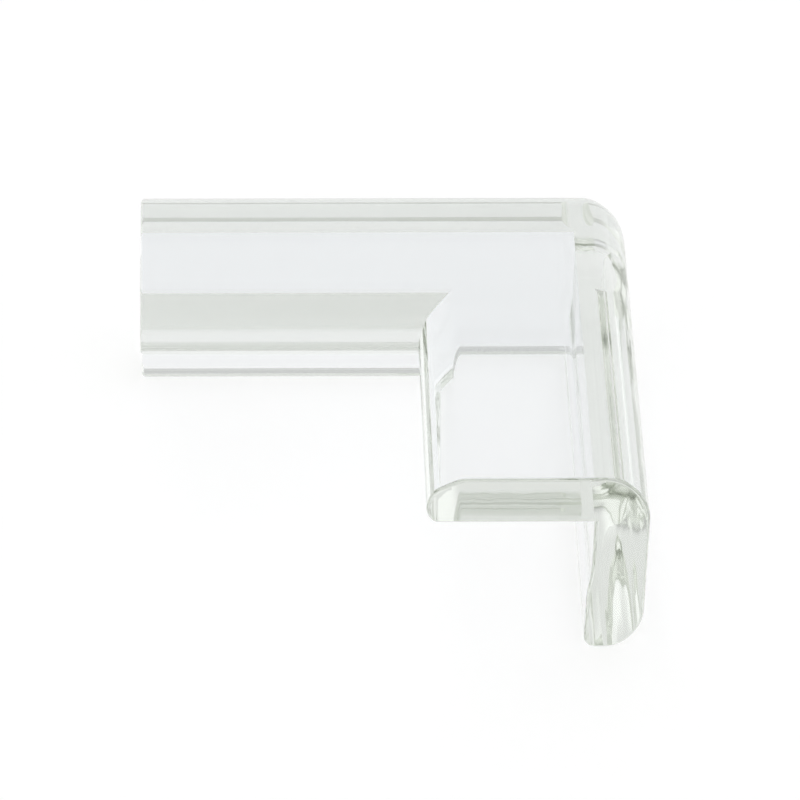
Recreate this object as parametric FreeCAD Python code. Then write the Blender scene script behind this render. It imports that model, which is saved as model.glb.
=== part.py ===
import FreeCAD
import Part

import math
import os

# Clear corner guard moulding for the corner of a table top or shelf.
#
# One piece of clear soft plastic: two arms at a right angle in plan, one
# slightly longer than the other. Each arm is an angle section, a flange that
# lies on top of the furniture and a skirt that hangs down over its edge. The
# free edges of the flange and of the skirt end in oval noses, the outer corner
# is rolled over, and the skirt thickens to a pad at its toe.
#
# Frame, in millimetres: +Z up, the guard stands on the toes of its skirts at
# Z = 0, and the origin is under the middle of the bounding box. The outer
# corner of the guard is towards +X +Y, and its arms run along X and along Y.

# Overall sizes
long_arm_length = 55.0
short_arm_length = 51.0
flange_width = 24.2
skirt_height = 25.1

# Walls
flange_thickness = 6.4
skirt_thickness = 6.0

# Rolled outer edge: its radius in plan, and how far down the skirt it reaches
corner_radius = 5.2
corner_drop = 6.4

# Nose on the free edge of the flange: a long oval on top, a short one below
flange_nose_run = 5.4
flange_nose_drop = 3.5
flange_lip_run = 1.6

# Nose on the free edge of the skirt: an oval outside, a small round inside
skirt_nose_run = 5.4
skirt_nose_inset = 4.3
skirt_lip_radius = 1.4

# Pad on the inside of the skirt, above its toe
pad_thickness = 0.4
pad_height = 7.0
pad_fade_height = 12.0

# Softened edge around the cut end of each arm
end_edge_radius = 0.4

# Places that follow from the sizes
toe_thickness = skirt_thickness + pad_thickness
flange_underside = skirt_height - flange_thickness

UP = FreeCAD.Vector(0, 0, 1)


def section_point(inset, height):
    """A point of an arm's section: inset from the outer face, height above the floor."""
    return FreeCAD.Vector(0, -inset, height)


def line(start, end):
    return Part.makeLine(section_point(*start), section_point(*end))


def arc(centre, radius, inset_side, height_side, start, end):
    """An arc between two angles in degrees, measured from level towards upright on the chosen side."""
    points = []
    for degrees in (start, (start + end) / 2, end):
        angle = math.radians(degrees)
        inset = centre[0] + inset_side * radius * math.cos(angle)
        height = centre[1] + height_side * radius * math.sin(angle)
        points.append(section_point(inset, height))
    return Part.Arc(*points).toShape()


def quarter_oval(centre, inset_radius, height_radius, inset_side, height_side):
    """A quarter of an oval as two arcs of 45 degrees that run smoothly into each other.

    inset_side and height_side are +1 or -1, for the side of the centre that the quarter lies on.
    """
    shift = (inset_radius - height_radius) * (1 + math.sqrt(0.5))
    side_centre = (centre[0] + inset_side * shift, centre[1])
    cap_centre = (centre[0], centre[1] - height_side * shift)
    side = arc(side_centre, inset_radius - shift, inset_side, height_side, 0, 45)
    cap = arc(cap_centre, height_radius + shift, inset_side, height_side, 45, 90)
    return [side, cap]


def fade(upper, lower):
    """A shallow S of two equal arcs down the inside of the skirt, upright at both ends."""
    run = (lower[0] - upper[0]) / 2
    drop = (upper[1] - lower[1]) / 2
    radius = (run * run + drop * drop) / (2 * run)
    sweep = math.degrees(math.asin(drop / radius))
    hollow = arc((upper[0] + radius, upper[1]), radius, -1, -1, 0, sweep)
    bulge = arc((lower[0] - radius, lower[1]), radius, 1, 1, 0, sweep)
    return [hollow, bulge]


def section_face():
    """The whole section of an arm, as a face."""
    roll_bottom = skirt_height - corner_drop
    nose_start = flange_width - flange_nose_run
    nose_middle = skirt_height - flange_nose_drop
    lip_start = flange_width - flange_lip_run
    toe_inset = toe_thickness - skirt_lip_radius

    edges = quarter_oval((corner_radius, roll_bottom), corner_radius, corner_drop, -1, 1)
    edges.append(line((corner_radius, skirt_height), (nose_start, skirt_height)))
    edges += quarter_oval((nose_start, nose_middle), flange_nose_run, flange_nose_drop, 1, 1)
    edges += quarter_oval((lip_start, nose_middle), flange_lip_run, nose_middle - flange_underside, 1, -1)
    edges.append(line((lip_start, flange_underside), (skirt_thickness, flange_underside)))
    edges.append(line((skirt_thickness, flange_underside), (skirt_thickness, pad_fade_height)))
    edges += fade((skirt_thickness, pad_fade_height), (toe_thickness, pad_height))
    edges.append(line((toe_thickness, pad_height), (toe_thickness, skirt_lip_radius)))
    edges.append(arc((toe_inset, skirt_lip_radius), skirt_lip_radius, 1, -1, 0, 90))
    edges.append(line((toe_inset, 0), (skirt_nose_inset, 0)))
    edges += quarter_oval((skirt_nose_inset, skirt_nose_run), skirt_nose_inset, skirt_nose_run, -1, -1)
    edges.append(line((0, skirt_nose_run), (0, roll_bottom)))
    return Part.Face(Part.Wire(Part.__sortEdges__(edges)))


def arm(section, length):
    """The section drawn out along X, from the cut end to where the outer corner starts to turn."""
    start = section.copy()
    start.translate(FreeCAD.Vector(-length, 0, 0))
    return start.extrude(FreeCAD.Vector(length - corner_radius, 0, 0))


def swapped(shape):
    """The mirror image in the upright plane between the two arms."""
    return shape.mirror(FreeCAD.Vector(0, 0, 0), FreeCAD.Vector(1, -1, 0))


def outer_corner(section):
    """The outer strip of the section, turned a quarter turn about the axis of the plan radius."""
    strip = Part.makeBox(1, corner_radius, skirt_height, FreeCAD.Vector(-0.5, -corner_radius, 0))
    turned = section.common(strip)
    turned.translate(FreeCAD.Vector(-corner_radius, 0, 0))
    return turned.revolve(FreeCAD.Vector(-corner_radius, -corner_radius, 0), UP, -90)


def end_edges(solid):
    """The edges around the two cut ends."""
    found = []
    for edge in solid.Edges:
        box = edge.BoundBox
        if box.XMax + long_arm_length < 1e-6 or box.YMax + short_arm_length < 1e-6:
            found.append(edge)
    return found


def corner_guard():
    """The guard, built with its outer faces on the planes X = 0 and Y = 0 and then moved to the frame."""
    section = section_face()
    long_arm = arm(section, long_arm_length)
    short_arm = swapped(arm(section, short_arm_length))
    guard = long_arm.fuse([short_arm, outer_corner(section)]).removeSplitter()
    guard = guard.makeFillet(end_edge_radius, end_edges(guard))
    guard.translate(FreeCAD.Vector(long_arm_length / 2, short_arm_length / 2, 0))
    return guard


def main():
    os.makedirs("parts", exist_ok=True)
    guard = corner_guard()
    box = guard.optimalBoundingBox(False)
    print("solids", len(guard.Solids), "valid", guard.isValid(), "faces", len(guard.Faces))
    print("volume", round(guard.Volume, 1))
    print("box", [round(v, 4) for v in (box.XMin, box.YMin, box.ZMin, box.XMax, box.YMax, box.ZMax)])
    guard.exportStep("parts/corner_guard.step")


main()
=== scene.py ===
import math

import bpy
from mathutils import Matrix, Vector

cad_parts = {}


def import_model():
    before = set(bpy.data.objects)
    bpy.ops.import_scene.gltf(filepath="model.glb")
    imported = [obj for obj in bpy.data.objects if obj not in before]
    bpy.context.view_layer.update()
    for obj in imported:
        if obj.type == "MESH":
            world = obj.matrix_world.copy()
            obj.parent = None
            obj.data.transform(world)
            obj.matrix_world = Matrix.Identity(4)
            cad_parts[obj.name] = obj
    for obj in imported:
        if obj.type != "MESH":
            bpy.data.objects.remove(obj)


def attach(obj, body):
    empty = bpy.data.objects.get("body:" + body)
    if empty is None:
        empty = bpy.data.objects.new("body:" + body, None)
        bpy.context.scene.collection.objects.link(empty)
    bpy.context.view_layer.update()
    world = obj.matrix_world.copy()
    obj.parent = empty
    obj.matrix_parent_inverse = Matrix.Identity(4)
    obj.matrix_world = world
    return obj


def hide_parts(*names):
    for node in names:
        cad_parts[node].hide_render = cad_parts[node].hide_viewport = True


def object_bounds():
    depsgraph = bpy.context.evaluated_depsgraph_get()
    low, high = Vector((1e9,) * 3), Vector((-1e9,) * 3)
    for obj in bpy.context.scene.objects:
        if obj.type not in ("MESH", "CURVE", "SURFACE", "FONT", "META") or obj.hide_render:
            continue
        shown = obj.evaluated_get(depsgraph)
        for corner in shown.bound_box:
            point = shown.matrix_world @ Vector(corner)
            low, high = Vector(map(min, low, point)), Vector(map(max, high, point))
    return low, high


NODE = "corner_guard"
MM = 0.001

# Sizes of the moulding's section, in metres; the overall sizes come from the frame
FLANGE_WIDTH = 24.2 * MM
FLANGE_THICKNESS = 6.4 * MM
SKIRT_THICKNESS = 6.0 * MM
CORNER_RADIUS = 5.2 * MM
CORNER_DROP = 6.4 * MM
FLANGE_LIP_RUN = 1.4 * MM
SKIRT_NOSE_RUN = 5.4 * MM
SKIRT_NOSE_INSET = 4.3 * MM
SKIRT_LIP_RADIUS = 1.4 * MM
PAD_THICKNESS = 0.4 * MM
PAD_HEIGHT = 7.0 * MM
PAD_FADE_HEIGHT = 12.0 * MM
END_EDGE_RADIUS = 0.4 * MM

# Nose on the free edge of each flange, from the flat to its widest point: a quick turn into a slope, the
# slope, and tighter turns down. Each step is an arc, given by the tilt in degrees that it ends at and its
# radius. The long arm's slope is the longer, and both noses are equally deep.
NOSE_DROP = 4.5 * MM
LONG_ARM_NOSE = (
    (26.0, 2.2 * MM),
    (32.0, 24.0 * MM),
    (42.0, 7.0 * MM),
    (60.0, 3.0 * MM),
    (90.0, 3.2 * MM),
)
SHORT_ARM_NOSE = (
    (26.0, 2.2 * MM),
    (33.0, 19.0 * MM),
    (62.0, 2.4 * MM),
    (90.0, 4.8 * MM),
)

# How finely the curves are divided
DEGREES_PER_STEP = 3.0
FADE_STEPS = 8
CORNER_STEPS = 32
ARM_STEPS = 24
END_STEPS = 6

# Points of a nose closer than this in height are one, and so are corners of faces closer than this
SAME_HEIGHT = 0.001 * MM
SAME_PLACE = 0.00001 * MM
ROUNDING = 1e-9

# Clear plastic: its refractive index, the light kept in passing through two of its faces, and the absorption
# of the bulk, which per metre is the density times what the colour lacks
PLASTIC_IOR = 1.53
PLASTIC_TINT = (0.935, 0.943, 0.957)
BULK_COLOUR = (0.926, 0.934, 0.915)
BULK_DENSITY = 60.0

# Faint lines left along the arms by the die: how many to the metre along and across an arm, and their
# depth
LINES_ALONG = 12.0
LINES_ACROSS = 600.0
LINES_DEPTH = 0.004 * MM

# Cut ends: their roughness, the ripples to the metre across and their share of that upright, the ripples'
# depth, and where roughness and ripples are whole and gone, as shares of the end's softened edge
CUT_ROUGHNESS = 0.015
RIPPLES = 420.0
RIPPLES_UPRIGHT = 0.35
RIPPLES_DEPTH = 0.04 * MM
CUT_WHOLE = 0.05
CUT_GONE = 0.6

# How fine the noise behind the lines and the ripples is
NOISE_DETAIL = 2.0

# White paper that the guard lies on: its colour, its glow, half its size, and the gap under the toes
PAPER_COLOUR = 0.42
PAPER_GLOW = 0.59
PAPER_HALF_SIZE = 1.5
PAPER_GAP = 0.1 * MM

# The room: the plain light that falls on the paper, and the levels that show in and through the plastic.
# The walls give way to the ceiling between two heights, and to the lamps between two distances to the side,
# both as parts of a unit direction.
ROOM_LIGHT = 1.0
WALLS = 1.0
CEILING = 0.7
LAMPS = 1.3
CEILING_HEIGHTS = (0.66, 0.88)
LAMP_SIDES = (0.2, 0.65)

# Light paths, long enough for light that runs along inside an arm
ALL_BOUNCES = 32
GLOSSY_BOUNCES = 24

# Camera: a long lens about 0.64 m away, looking down on the guard. Its distance gives the stated number of
# pixels to the millimetre at the outer top corner.
CAMERA_FOCAL_PIXELS = 5627.262
PICTURE_PIXELS = 800
SENSOR_WIDTH_MM = 36.0
CAMERA_YAW = math.radians(2.909)
CAMERA_PITCH = math.radians(41.432)
CAMERA_ROLL = math.radians(1.741)
PIXELS_PER_MM = 8.787
CAMERA_DISTANCE = CAMERA_FOCAL_PIXELS / PIXELS_PER_MM * MM
CAMERA_CLIP = (0.01, 10.0)
OUTER_TOP_CORNER_PIXEL = (624.699, 177.367)


class SectionPoint:
    """A point of an arm's section with the outward direction of the surface there.

    inset is measured in from the arm's outer face and height up from the floor. after is the outward
    direction on the stretch that follows, where that differs, as it does only in the corner that the
    furniture sits in.
    """

    def __init__(self, inset, height, out, after=None):
        self.inset = inset
        self.height = height
        self.out = out
        self.after = after or out


def arc(centre, radius, inset_side, height_side, start, end):
    """Points along an arc between two angles in degrees, from level towards upright on the chosen side."""
    steps = max(2, round(abs(end - start) / DEGREES_PER_STEP))
    points = []
    for i in range(steps + 1):
        angle = math.radians(start + (end - start) * i / steps)
        out = (inset_side * math.cos(angle), height_side * math.sin(angle))
        inset = centre[0] + radius * out[0]
        height = centre[1] + radius * out[1]
        points.append(SectionPoint(inset, height, out))
    return points


def quarter_oval(centre, inset_radius, height_radius, inset_side, height_side):
    """A quarter of an oval, as two arcs of 45 degrees, from beside the centre to above or below it."""
    shift = (inset_radius - height_radius) * (1 + math.sqrt(0.5))
    side_centre = (centre[0] + inset_side * shift, centre[1])
    cap_centre = (centre[0], centre[1] - height_side * shift)
    side = arc(side_centre, inset_radius - shift, inset_side, height_side, 0, 45)
    cap = arc(cap_centre, height_radius + shift, inset_side, height_side, 45, 90)
    return side + cap[1:]


def fade(upper, lower):
    """A shallow S of two equal arcs down the inside of the skirt, upright at both ends."""
    run = (lower[0] - upper[0]) / 2
    drop = (upper[1] - lower[1]) / 2
    radius = (run * run + drop * drop) / (2 * run)
    sweep = math.asin(drop / radius)
    hollow = []
    bulge = []
    for i in range(FADE_STEPS + 1):
        angle = sweep * i / FADE_STEPS
        out = (math.cos(angle), math.sin(angle))
        across = radius * (1 - out[0])
        down = radius * out[1]
        hollow.append(SectionPoint(upper[0] + across, upper[1] - down, out))
        bulge.append(SectionPoint(lower[0] - across, lower[1] + down, out))
    return hollow + bulge[-2::-1]


class Nose:
    """The top of a flange's free edge: arcs that run into each other, down to the widest point.

    Each arc is kept as the drop, tilt and run that it starts from, its radius and the tilt that it ends at.
    """

    def __init__(self, steps):
        self.arcs = []
        run = 0.0
        drop = 0.0
        tilt = 0.0
        for end, radius in steps:
            end = math.radians(end)
            self.arcs.append((drop, tilt, run, radius, end))
            run += radius * (math.sin(end) - math.sin(tilt))
            drop += radius * (math.cos(tilt) - math.cos(end))
            tilt = end
        self.run = run
        self.drop = drop

    def drops(self):
        """The drops at which the nose is divided."""
        found = []
        for drop, start, _, radius, end in self.arcs:
            steps = max(2, round(math.degrees(end - start) / DEGREES_PER_STEP))
            for i in range(steps + 1):
                angle = start + (end - start) * i / steps
                found.append(drop + radius * (math.cos(start) - math.cos(angle)))
        return found

    def at(self, drop, top):
        """The point of the nose at a drop below the flat, scaled so that the whole drop is NOSE_DROP."""
        drop = drop / NOSE_DROP * self.drop
        for start_drop, start, run, radius, end in self.arcs:
            cosine = math.cos(start) - (drop - start_drop) / radius
            if cosine >= math.cos(end) - ROUNDING:
                break
        tilt = math.acos(max(0.0, min(1.0, cosine)))
        run += radius * (math.sin(tilt) - math.sin(start))
        inset = FLANGE_WIDTH - self.run + run
        height = top - drop / self.drop * NOSE_DROP
        return SectionPoint(inset, height, (math.sin(tilt), math.cos(tilt)))


def nose_points(steps, top):
    """An arm's nose, divided at heights that both arms share, so that they meet in a clean mitre."""
    drops = [0.0]
    for other in (LONG_ARM_NOSE, SHORT_ARM_NOSE):
        nose = Nose(other)
        drops += [drop / nose.drop * NOSE_DROP for drop in nose.drops()]
    shared = [0.0]
    for drop in sorted(drops):
        if drop > shared[-1] + SAME_HEIGHT:
            shared.append(drop)
    nose = Nose(steps)
    return [nose.at(drop, top) for drop in shared]


def section(top, nose_steps):
    """An arm's closed section, from the outer face over the top and back under to the outer face."""
    underside = top - FLANGE_THICKNESS
    roll_bottom = top - CORNER_DROP
    lip_start = FLANGE_WIDTH - FLANGE_LIP_RUN
    toe_thickness = SKIRT_THICKNESS + PAD_THICKNESS
    toe = (toe_thickness - SKIRT_LIP_RADIUS, SKIRT_LIP_RADIUS)

    points = quarter_oval((CORNER_RADIUS, roll_bottom), CORNER_RADIUS, CORNER_DROP, -1, 1)
    points += nose_points(nose_steps, top)
    widest = top - NOSE_DROP
    lip = quarter_oval((lip_start, widest), FLANGE_LIP_RUN, widest - underside, 1, -1)
    points += lip[1:]
    points.append(SectionPoint(SKIRT_THICKNESS, underside, (0, -1), (1, 0)))
    points += fade((SKIRT_THICKNESS, PAD_FADE_HEIGHT), (toe_thickness, PAD_HEIGHT))
    points += arc(toe, SKIRT_LIP_RADIUS, 1, -1, 0, 90)
    heel = quarter_oval((SKIRT_NOSE_INSET, SKIRT_NOSE_RUN), SKIRT_NOSE_INSET, SKIRT_NOSE_RUN, -1, -1)
    points += reversed(heel)
    return points


class Surface:
    """Vertices and faces with an exact normal at each face corner."""

    def __init__(self):
        self.vertices = []
        self.index = {}
        self.faces = []
        self.normals = []

    def vertex(self, place):
        key = tuple(round(c / SAME_PLACE) for c in place)
        if key not in self.index:
            self.index[key] = len(self.vertices)
            self.vertices.append(place)
        return self.index[key]

    def face(self, corners):
        """Adds a face from pairs of a place and a normal, leaving out corners that fall together."""
        kept = []
        for place, normal in corners:
            number = self.vertex(place)
            if all(number != other for other, _ in kept):
                kept.append((number, normal))
        if len(kept) > 2:
            self.faces.append([number for number, _ in kept])
            self.normals += [normal for _, normal in kept]

    def mesh(self, name):
        mesh = bpy.data.meshes.new(name)
        mesh.from_pydata(self.vertices, [], self.faces)
        mesh.shade_smooth()
        mesh.normals_split_custom_set([Vector(n).normalized() for n in self.normals])
        mesh.validate()
        return mesh


class Guard:
    """The moulding's surface: its section swept along one arm, round the corner and along the other."""

    def __init__(self, low, high):
        self.low = low
        self.high = high
        self.long_arm = section(high.z, LONG_ARM_NOSE)
        self.short_arm = section(high.z, SHORT_ARM_NOSE)

    def stations(self, number, following):
        """The line that one point of the section draws from cut end to cut end, as places and normals."""
        point = self.long_arm[number]
        turned = self.short_arm[number]
        out = point.after if following else point.out
        turned_out = turned.after if following else turned.out
        turn_x = self.high.x - max(CORNER_RADIUS, turned.inset)
        turn_y = self.high.y - max(CORNER_RADIUS, point.inset)
        line = []
        start = self.low.x + END_EDGE_RADIUS
        for i in range(ARM_STEPS):
            x = start + (turn_x - start) * i / ARM_STEPS
            place = (x, self.high.y - point.inset, point.height)
            line.append((place, (0, -out[0], out[1])))
        radius = max(0.0, CORNER_RADIUS - point.inset)
        for i in range(CORNER_STEPS + 1):
            angle = math.pi / 2 * i / CORNER_STEPS
            if point.inset > CORNER_RADIUS:
                angle = 0 if i == 0 else math.pi / 2
            across = math.sin(angle)
            along = math.cos(angle)
            place = (turn_x + radius * across, turn_y + radius * along, point.height)
            side, up = out if angle < math.pi / 4 else turned_out
            line.append((place, (-side * across, -side * along, up)))
        end = self.low.y + END_EDGE_RADIUS
        for i in range(1, ARM_STEPS + 1):
            y = turn_y + (end - turn_y) * i / ARM_STEPS
            place = (self.high.x - turned.inset, y, point.height)
            line.append((place, (-turned_out[0], 0, turned_out[1])))
        return line

    def sweep(self, surface):
        count = len(self.long_arm)
        for number in range(count):
            first = self.stations(number, True)
            second = self.stations((number + 1) % count, False)
            for i in range(len(first) - 1):
                surface.face([first[i], second[i], second[i + 1], first[i + 1]])

    def end_ring(self, point, out, turned):
        """The small round from the swept surface to a cut end, at one point of the section."""
        inward = point.out if point.out == point.after else (1, -1)
        ring = []
        for i in range(END_STEPS + 1):
            angle = math.pi / 2 * i / END_STEPS
            sink = END_EDGE_RADIUS * (1 - math.cos(angle))
            inset = point.inset - inward[0] * sink
            height = point.height - inward[1] * sink
            step = END_EDGE_RADIUS * (1 - math.sin(angle))
            side = out[0] * math.cos(angle)
            up = out[1] * math.cos(angle)
            if turned:
                place = (self.high.x - inset, self.low.y + step, height)
                normal = (-side, -math.sin(angle), up)
            else:
                place = (self.low.x + step, self.high.y - inset, height)
                normal = (-math.sin(angle), -side, up)
            ring.append((place, normal))
        return ring

    def close_end(self, surface, turned):
        """Softens the edge around one cut end and closes it with a flat face."""
        points = self.short_arm if turned else self.long_arm
        rim = []
        for here, there in zip(points, points[1:] + points[:1]):
            first = self.end_ring(here, here.after, turned)
            second = self.end_ring(there, there.out, turned)
            rim.append(first[-1])
            for i in range(END_STEPS):
                corners = [first[i], first[i + 1], second[i + 1], second[i]]
                if turned:
                    corners.reverse()
                surface.face(corners)
        if not turned:
            rim.reverse()
        surface.face(rim)

    def build(self):
        surface = Surface()
        self.sweep(surface)
        self.close_end(surface, False)
        self.close_end(surface, True)
        return surface.mesh("moulding")


class Graph:
    """Small helper to write a shader's arithmetic."""

    def __init__(self, tree):
        self.tree = tree
        tree.nodes.clear()

    def node(self, kind):
        return self.tree.nodes.new(kind)

    def feed(self, socket, value):
        if isinstance(value, (int, float)):
            socket.default_value = value
        else:
            self.tree.links.new(value, socket)

    def math(self, operation, first, second=0.0, clamp=False):
        node = self.node("ShaderNodeMath")
        node.operation = operation
        node.use_clamp = clamp
        self.feed(node.inputs[0], first)
        self.feed(node.inputs[1], second)
        return node.outputs[0]

    def ramp(self, value, start, end, low, high):
        """Goes smoothly from low at start to high at end."""
        node = self.node("ShaderNodeMapRange")
        node.interpolation_type = "SMOOTHSTEP"
        self.feed(node.inputs["Value"], value)
        node.inputs["From Min"].default_value = start
        node.inputs["From Max"].default_value = end
        node.inputs["To Min"].default_value = low
        node.inputs["To Max"].default_value = high
        return node.outputs[0]

    def noise(self, place, scale):
        node = self.node("ShaderNodeTexNoise")
        self.feed(node.inputs["Vector"], place)
        node.inputs["Scale"].default_value = scale
        node.inputs["Detail"].default_value = NOISE_DETAIL
        return node.outputs[0]

    def bump(self, height, depth, under=None):
        """The normal of a surface raised by height times depth, on top of another one's if given."""
        node = self.node("ShaderNodeBump")
        node.inputs["Distance"].default_value = depth
        self.feed(node.inputs["Height"], height)
        if under:
            self.feed(node.inputs["Normal"], under)
        return node.outputs[0]

    def seen(self):
        """1 for rays that show a surface: from the camera, or by way of glossy or clear surfaces."""
        path = self.node("ShaderNodeLightPath").outputs
        several = self.math("ADD", path["Is Camera Ray"], path["Is Glossy Ray"])
        return self.math("ADD", several, path["Is Transmission Ray"], clamp=True)


def clear_plastic(low, high):
    """Clear plastic with faint lines along the arms, and a rippled, barely rough face at each cut end."""
    material = bpy.data.materials.new("clear_plastic")
    material.use_nodes = True
    graph = Graph(material.node_tree)
    place = graph.node("ShaderNodeTexCoord")
    axes = graph.node("ShaderNodeSeparateXYZ")
    graph.feed(axes.inputs[0], place.outputs["Object"])
    x, y, height = axes.outputs

    from_corner_x = graph.math("SUBTRACT", high.x, x)
    from_corner_y = graph.math("SUBTRACT", high.y, y)
    on_long_arm = graph.math("GREATER_THAN", from_corner_x, from_corner_y)
    on_short_arm = graph.math("SUBTRACT", 1.0, on_long_arm)
    spread = LINES_ACROSS - LINES_ALONG
    x_scale = graph.math("ADD", graph.math("MULTIPLY", on_short_arm, spread), LINES_ALONG)
    y_scale = graph.math("ADD", graph.math("MULTIPLY", on_long_arm, spread), LINES_ALONG)
    stretched = graph.node("ShaderNodeCombineXYZ")
    graph.feed(stretched.inputs[0], graph.math("MULTIPLY", x, x_scale))
    graph.feed(stretched.inputs[1], graph.math("MULTIPLY", y, y_scale))
    graph.feed(stretched.inputs[2], graph.math("MULTIPLY", height, LINES_ACROSS))
    lines = graph.bump(graph.noise(stretched.outputs[0], 1.0), LINES_DEPTH)

    from_long_end = graph.math("SUBTRACT", x, low.x)
    from_short_end = graph.math("SUBTRACT", y, low.y)
    from_end = graph.math("MINIMUM", from_long_end, from_short_end)
    cut = graph.ramp(from_end, END_EDGE_RADIUS * CUT_WHOLE, END_EDGE_RADIUS * CUT_GONE, 1.0, 0.0)
    drawn = graph.node("ShaderNodeCombineXYZ")
    graph.feed(drawn.inputs[0], x)
    graph.feed(drawn.inputs[1], y)
    graph.feed(drawn.inputs[2], graph.math("MULTIPLY", height, RIPPLES_UPRIGHT))
    ripples = graph.math("MULTIPLY", graph.noise(drawn.outputs[0], RIPPLES), cut)
    surface = graph.bump(ripples, RIPPLES_DEPTH, lines)

    shader = graph.node("ShaderNodeBsdfPrincipled")
    shader.inputs["Base Color"].default_value = (*PLASTIC_TINT, 1)
    shader.inputs["Transmission Weight"].default_value = 1
    shader.inputs["IOR"].default_value = PLASTIC_IOR
    graph.feed(shader.inputs["Roughness"], graph.math("MULTIPLY", cut, CUT_ROUGHNESS))
    graph.feed(shader.inputs["Normal"], surface)
    bulk = graph.node("ShaderNodeVolumeAbsorption")
    bulk.inputs["Color"].default_value = (*BULK_COLOUR, 1)
    bulk.inputs["Density"].default_value = BULK_DENSITY
    out = graph.node("ShaderNodeOutputMaterial")
    graph.feed(out.inputs["Surface"], shader.outputs[0])
    graph.feed(out.inputs["Volume"], bulk.outputs[0])
    return material


def moulding(low, high):
    piece = bpy.data.objects.new("moulding", Guard(low, high).build())
    bpy.context.scene.collection.objects.link(piece)
    piece.data.materials.append(clear_plastic(low, high))
    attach(piece, "root")
    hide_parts(NODE)
    return piece


def paper_white():
    """White paper, lit by the room, with just enough glow to come out white where no shadow falls."""
    material = bpy.data.materials.new("paper_white")
    material.use_nodes = True
    graph = Graph(material.node_tree)
    paper = graph.node("ShaderNodeBsdfDiffuse")
    paper.inputs["Color"].default_value = (PAPER_COLOUR, PAPER_COLOUR, PAPER_COLOUR, 1)
    glow = graph.node("ShaderNodeEmission")
    graph.feed(glow.inputs["Strength"], graph.math("MULTIPLY", graph.seen(), PAPER_GLOW))
    both = graph.node("ShaderNodeAddShader")
    graph.feed(both.inputs[0], paper.outputs[0])
    graph.feed(both.inputs[1], glow.outputs[0])
    out = graph.node("ShaderNodeOutputMaterial")
    graph.feed(out.inputs["Surface"], both.outputs[0])
    return material


def floor():
    mesh = bpy.data.meshes.new("floor")
    half = PAPER_HALF_SIZE
    corners = [(-half, -half, 0), (half, -half, 0), (half, half, 0), (-half, half, 0)]
    mesh.from_pydata(corners, [], [(0, 1, 2, 3)])
    piece = bpy.data.objects.new("floor", mesh)
    piece.location.z = -PAPER_GAP
    mesh.materials.append(paper_white())
    bpy.context.scene.collection.objects.link(piece)


def world():
    """The room: plain light, and in and through the plastic pale walls, a greyer ceiling and side lamps."""
    made = bpy.data.worlds.new("studio")
    bpy.context.scene.world = made
    made.use_nodes = True
    graph = Graph(made.node_tree)
    place = graph.node("ShaderNodeTexCoord")
    axes = graph.node("ShaderNodeSeparateXYZ")
    graph.feed(axes.inputs[0], place.outputs["Generated"])
    side, _, height = axes.outputs

    between = graph.ramp(height, *CEILING_HEIGHTS, WALLS, CEILING)
    lamps = graph.ramp(graph.math("ABSOLUTE", side), *LAMP_SIDES, 0.0, 1.0)
    level = graph.math("MULTIPLY", lamps, graph.math("SUBTRACT", LAMPS, between))
    shown = graph.math("ADD", between, level)

    mix = graph.node("ShaderNodeMix")
    mix.data_type = "FLOAT"
    graph.feed(mix.inputs["Factor"], graph.seen())
    graph.feed(mix.inputs["A"], ROOM_LIGHT)
    graph.feed(mix.inputs["B"], shown)
    sky = graph.node("ShaderNodeBackground")
    sky.inputs["Color"].default_value = (1, 1, 1, 1)
    graph.feed(sky.inputs["Strength"], mix.outputs[0])
    out = graph.node("ShaderNodeOutputWorld")
    graph.feed(out.inputs["Surface"], sky.outputs[0])


def camera(high):
    """Stands where the outer top corner of the guard's box falls on its pixel of the photograph."""
    yaw = CAMERA_YAW
    pitch = CAMERA_PITCH
    roll = CAMERA_ROLL
    ahead = math.cos(pitch)
    forward = Vector((math.sin(yaw) * ahead, math.cos(yaw) * ahead, -math.sin(pitch)))
    level = Vector((math.cos(yaw), -math.sin(yaw), 0))
    upright = level.cross(forward)
    right = level * math.cos(roll) + upright * math.sin(roll)
    up = upright * math.cos(roll) - level * math.sin(roll)

    middle = PICTURE_PIXELS / 2
    metres_per_pixel = CAMERA_DISTANCE / CAMERA_FOCAL_PIXELS
    offset_right = (OUTER_TOP_CORNER_PIXEL[0] - middle) * metres_per_pixel
    offset_up = (middle - OUTER_TOP_CORNER_PIXEL[1]) * metres_per_pixel
    place = high - right * offset_right - up * offset_up - forward * CAMERA_DISTANCE

    data = bpy.data.cameras.new("camera")
    data.sensor_width = SENSOR_WIDTH_MM
    data.lens = CAMERA_FOCAL_PIXELS / PICTURE_PIXELS * SENSOR_WIDTH_MM
    data.clip_start, data.clip_end = CAMERA_CLIP
    stand = bpy.data.objects.new("camera", data)
    turn = Matrix((right, up, -forward)).transposed().to_4x4()
    stand.matrix_world = Matrix.Translation(place) @ turn
    bpy.context.scene.collection.objects.link(stand)
    bpy.context.scene.camera = stand


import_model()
cad_low, cad_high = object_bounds()

moulding(cad_low, cad_high)
floor()
world()
camera(cad_high)

scene = bpy.context.scene
scene.view_settings.view_transform = "Standard"
scene.cycles.max_bounces = ALL_BOUNCES
scene.cycles.glossy_bounces = GLOSSY_BOUNCES
scene.cycles.transmission_bounces = ALL_BOUNCES
scene.cycles.blur_glossy = 0
